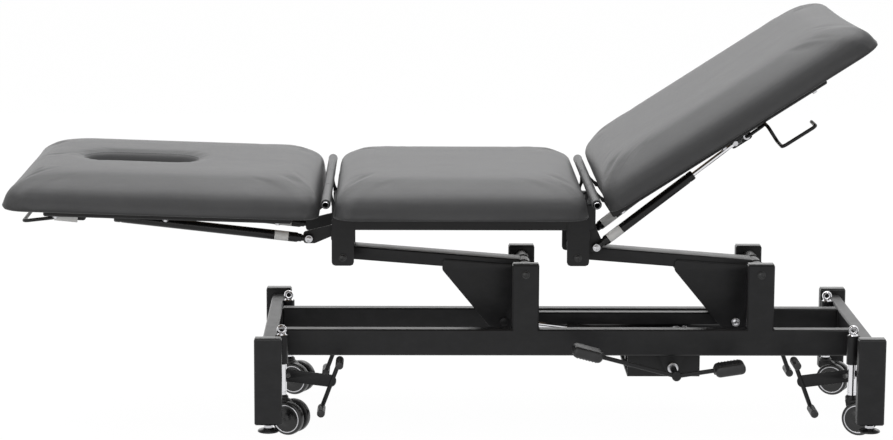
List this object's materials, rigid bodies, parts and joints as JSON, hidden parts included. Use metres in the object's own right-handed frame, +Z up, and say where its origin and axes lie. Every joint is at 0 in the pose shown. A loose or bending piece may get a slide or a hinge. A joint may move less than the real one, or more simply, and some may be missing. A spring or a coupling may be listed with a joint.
{
  "type": "massage table",
  "caption": "Three-section padded massage table with hydraulic lift, gas-strut head and back, and retractable twin-wheel casters.",
  "frame": {"origin": "centre of the bounding box at floor level, under the casters", "axes": "+X from the head section to the back section, +Y away from the pump lever, +Z up"},
  "size_m": [1.9368, 0.7, 0.937],
  "materials": {
    "black_steel": "black powder coat",
    "chrome": "bright chrome",
    "grey_vinyl": "mid grey vinyl over foam",
    "plywood": "plain birch plywood",
    "black_rubber": "matt black rubber",
    "black_plastic": "black moulded plastic",
    "strut_black": "gloss black barrel"
  },
  "bodies": {
    "base": {"end_frame_head": "black_steel", "end_frame_foot": "black_steel", "side_frame_near": "black_steel", "side_frame_far": "black_steel", "pump_tray": "black_steel", "pump_body": "black_steel", "post_shaft_head": "black_steel", "post_shaft_foot": "black_steel"},
    "lift_arm_head": {"lift_arm_head": "black_steel", "crank_pin_head": "chrome"},
    "lift_arm_foot": {"lift_arm_foot": "black_steel", "crank_pin_foot": "chrome"},
    "tie_bar": {"tie_bar": "black_steel"},
    "ram_barrel": {"ram_body": "black_steel"},
    "ram_rod": {"ram_rod": "chrome"},
    "pump_lever": {"pump_lever": "black_steel", "pedal_raise": "black_rubber", "pedal_lower": "black_rubber"},
    "top": {"centre_frame": "black_steel", "tab_shaft_head": "black_steel", "tab_shaft_foot": "black_steel", "centre_board": "plywood", "centre_cushion": "grey_vinyl", "hinge_sleeve_head": "grey_vinyl", "hinge_sleeve_back": "grey_vinyl"},
    "head_section": {"head_frame": "black_steel", "head_board": "plywood", "head_cushion": "grey_vinyl"},
    "head_release_handle": {"head_release_handle": "black_steel"},
    "head_strut_barrels": {"head_strut_body_near": "strut_black", "head_strut_body_far": "strut_black"},
    "head_strut_rods": {"head_strut_rod_near": "chrome", "head_strut_rod_far": "chrome"},
    "back_section": {"back_frame": "black_steel", "back_board": "plywood", "back_cushion": "grey_vinyl"},
    "back_release_handle": {"back_release_handle": "black_steel"},
    "back_strut_barrels": {"back_strut_body_near": "strut_black", "back_strut_body_far": "strut_black"},
    "back_strut_rods": {"back_strut_rod_near": "chrome", "back_strut_rod_far": "chrome"},
    "wheel_lever_head": {"wheel_lever_head": "black_steel"},
    "caster_stem_head_near": {"caster_stem_head_near": "chrome"},
    "caster_fork_head_near": {"caster_fork_head_near": "black_plastic"},
    "caster_wheels_head_near": {"caster_wheels_head_near": "black_rubber"},
    "caster_stem_head_far": {"caster_stem_head_far": "chrome"},
    "caster_fork_head_far": {"caster_fork_head_far": "black_plastic"},
    "caster_wheels_head_far": {"caster_wheels_head_far": "black_rubber"},
    "wheel_lever_foot": {"wheel_lever_foot": "black_steel"},
    "caster_stem_foot_near": {"caster_stem_foot_near": "chrome"},
    "caster_fork_foot_near": {"caster_fork_foot_near": "black_plastic"},
    "caster_wheels_foot_near": {"caster_wheels_foot_near": "black_rubber"},
    "caster_stem_foot_far": {"caster_stem_foot_far": "chrome"},
    "caster_fork_foot_far": {"caster_fork_foot_far": "black_plastic"},
    "caster_wheels_foot_far": {"caster_wheels_foot_far": "black_rubber"},
    "levelling_foot_head_near": {"levelling_foot_head_near": "black_plastic"},
    "levelling_foot_head_far": {"levelling_foot_head_far": "black_plastic"},
    "levelling_foot_foot_near": {"levelling_foot_foot_near": "black_plastic"},
    "levelling_foot_foot_far": {"levelling_foot_foot_far": "black_plastic"}
  },
  "joints": [
    {"name": "lift", "type": "hinge", "parent": "base", "child": "lift_arm_head", "pos_m": [0.1775, 0, 0.346], "axis": [0, 1, 0], "range_deg": [-7, 55]},
    {"name": "lift_arm_foot_turn", "type": "hinge", "parent": "base", "child": "lift_arm_foot", "pos_m": [0.7065, 0, 0.346], "axis": [0, 1, 0], "range_deg": [-7.2, 55.5]},
    {"name": "tie_bar_turn", "type": "hinge", "parent": "lift_arm_head", "child": "tie_bar", "pos_m": [0.1335, 0, 0.218], "axis": [0, 1, 0], "range_deg": [-55.5, 7.2]},
    {"name": "top_level", "type": "hinge", "parent": "lift_arm_head", "child": "top", "pos_m": [-0.23323, 0, 0.37833], "axis": [0, 1, 0], "range_deg": [-55.5, 7.2]},
    {"name": "ram_swing", "type": "hinge", "parent": "base", "child": "ram_barrel", "pos_m": [0.5315, -0.015, 0.168], "axis": [0, 1, 0], "range_deg": [-1.05, 8.25]},
    {"name": "ram_stroke", "type": "slide", "parent": "ram_barrel", "child": "ram_rod", "axis": [-0.9922, 0, 0.1246], "range_m": [-0.01428, 0.11221]},
    {"name": "pump_rock", "type": "hinge", "parent": "base", "child": "pump_lever", "pos_m": [0.5095, 0, 0.136], "axis": [0, 1, 0], "range_deg": [-10, 10], "stiffness_Nm_per_rad": 12},
    {"name": "head_tilt", "type": "hinge", "parent": "top", "child": "head_section", "pos_m": [-0.2651, 0, 0.53902], "axis": [0, 1, 0], "range_deg": [-35, 30]},
    {"name": "head_strut_swing", "type": "hinge", "parent": "top", "child": "head_strut_barrels", "pos_m": [-0.3093, 0, 0.42152], "axis": [0, 1, 0], "range_deg": [-38.57, 33.06]},
    {"name": "head_strut_stroke", "type": "slide", "parent": "head_strut_barrels", "child": "head_strut_rods", "axis": [-0.9939, 0, 0.1106], "range_m": [-0.07115, 0.06099]},
    {"name": "head_handle_lift", "type": "hinge", "parent": "head_section", "child": "head_release_handle", "pos_m": [-0.85739, 0, 0.47057], "axis": [0, 1, 0], "range_deg": [0, 7], "stiffness_Nm_per_rad": 2, "springref_deg": -5.73},
    {"name": "back_tilt", "type": "hinge", "parent": "top", "child": "back_section", "pos_m": [0.32, 0, 0.53902], "axis": [0, -1, 0], "range_deg": [-32.8, 42]},
    {"name": "back_strut_swing", "type": "hinge", "parent": "top", "child": "back_strut_barrels", "pos_m": [0.3372, 0, 0.40253], "axis": [0, -1, 0], "range_deg": [-27.08, 34.68]},
    {"name": "back_strut_stroke", "type": "slide", "parent": "back_strut_barrels", "child": "back_strut_rods", "axis": [0.79, 0, 0.6131], "range_m": [-0.06339, 0.08117]},
    {"name": "back_handle_lift", "type": "hinge", "parent": "back_section", "child": "back_release_handle", "pos_m": [0.67099, 0, 0.65398], "axis": [0, -1, 0], "range_deg": [0, 7], "stiffness_Nm_per_rad": 2, "springref_deg": -5.73},
    {"name": "wheel_lever_head_turn", "type": "hinge", "parent": "base", "child": "wheel_lever_head", "pos_m": [-0.3985, 0, 0.131], "axis": [0, -1, 0], "range_deg": [0, 40]},
    {"name": "stem_slide_head_near", "type": "slide", "parent": "base", "child": "caster_stem_head_near", "axis": [0, 0, 1], "range_m": [0, 0.02576]},
    {"name": "swivel_head_near", "type": "hinge", "parent": "caster_stem_head_near", "child": "caster_fork_head_near", "pos_m": [-0.367, -0.197, 0.086], "axis": [0, 0, 1], "continuous": true},
    {"name": "wheel_spin_head_near", "type": "hinge", "parent": "caster_fork_head_near", "child": "caster_wheels_head_near", "pos_m": [-0.34706, -0.2063, 0.0375], "axis": [0.4226, 0.9063, 0], "continuous": true},
    {"name": "stem_slide_head_far", "type": "slide", "parent": "base", "child": "caster_stem_head_far", "axis": [0, 0, 1], "range_m": [0, 0.02576]},
    {"name": "swivel_head_far", "type": "hinge", "parent": "caster_stem_head_far", "child": "caster_fork_head_far", "pos_m": [-0.367, 0.197, 0.086], "axis": [0, 0, 1], "continuous": true},
    {"name": "wheel_spin_head_far", "type": "hinge", "parent": "caster_fork_head_far", "child": "caster_wheels_head_far", "pos_m": [-0.34706, 0.1877, 0.0375], "axis": [0.4226, 0.9063, 0], "continuous": true},
    {"name": "wheel_lever_foot_turn", "type": "hinge", "parent": "base", "child": "wheel_lever_foot", "pos_m": [0.9375, 0, 0.131], "axis": [0, 1, 0], "range_deg": [0, 40]},
    {"name": "stem_slide_foot_near", "type": "slide", "parent": "base", "child": "caster_stem_foot_near", "axis": [0, 0, 1], "range_m": [0, 0.02576]},
    {"name": "swivel_foot_near", "type": "hinge", "parent": "caster_stem_foot_near", "child": "caster_fork_foot_near", "pos_m": [0.906, -0.197, 0.086], "axis": [0, 0, 1], "continuous": true},
    {"name": "wheel_spin_foot_near", "type": "hinge", "parent": "caster_fork_foot_near", "child": "caster_wheels_foot_near", "pos_m": [0.92594, -0.2063, 0.0375], "axis": [0.4226, 0.9063, 0], "continuous": true},
    {"name": "stem_slide_foot_far", "type": "slide", "parent": "base", "child": "caster_stem_foot_far", "axis": [0, 0, 1], "range_m": [0, 0.02576]},
    {"name": "swivel_foot_far", "type": "hinge", "parent": "caster_stem_foot_far", "child": "caster_fork_foot_far", "pos_m": [0.906, 0.197, 0.086], "axis": [0, 0, 1], "continuous": true},
    {"name": "wheel_spin_foot_far", "type": "hinge", "parent": "caster_fork_foot_far", "child": "caster_wheels_foot_far", "pos_m": [0.92594, 0.1877, 0.0375], "axis": [0.4226, 0.9063, 0], "continuous": true},
    {"name": "levelling_head_near", "type": "slide", "parent": "base", "child": "levelling_foot_head_near", "axis": [0, 0, 1], "range_m": [-0.015, 0.006]},
    {"name": "levelling_head_far", "type": "slide", "parent": "base", "child": "levelling_foot_head_far", "axis": [0, 0, 1], "range_m": [-0.015, 0.006]},
    {"name": "levelling_foot_near", "type": "slide", "parent": "base", "child": "levelling_foot_foot_near", "axis": [0, 0, 1], "range_m": [-0.015, 0.006]},
    {"name": "levelling_foot_far", "type": "slide", "parent": "base", "child": "levelling_foot_foot_far", "axis": [0, 0, 1], "range_m": [-0.015, 0.006]}
  ],
  "couplings": [
    {"joint": "lift_arm_foot_turn", "follows": "lift", "ratio": 1},
    {"joint": "tie_bar_turn", "follows": "lift", "ratio": -1},
    {"joint": "top_level", "follows": "lift", "ratio": -1},
    {"joint": "ram_swing", "follows": "lift", "ratio": 0.14697},
    {"joint": "ram_stroke", "follows": "lift", "m_per_rad": 0.1146},
    {"joint": "head_strut_swing", "follows": "head_tilt", "ratio": 1.0803},
    {"joint": "head_strut_stroke", "follows": "head_tilt", "m_per_rad": 0.11419},
    {"joint": "back_strut_swing", "follows": "back_tilt", "ratio": 0.80957},
    {"joint": "back_strut_stroke", "follows": "back_tilt", "m_per_rad": 0.10856},
    {"joint": "stem_slide_head_near", "follows": "wheel_lever_head_turn", "m_per_rad": 0.036526},
    {"joint": "stem_slide_head_far", "follows": "wheel_lever_head_turn", "m_per_rad": 0.036526},
    {"joint": "stem_slide_foot_near", "follows": "wheel_lever_foot_turn", "m_per_rad": 0.036526},
    {"joint": "stem_slide_foot_far", "follows": "wheel_lever_foot_turn", "m_per_rad": 0.036526}
  ]
}
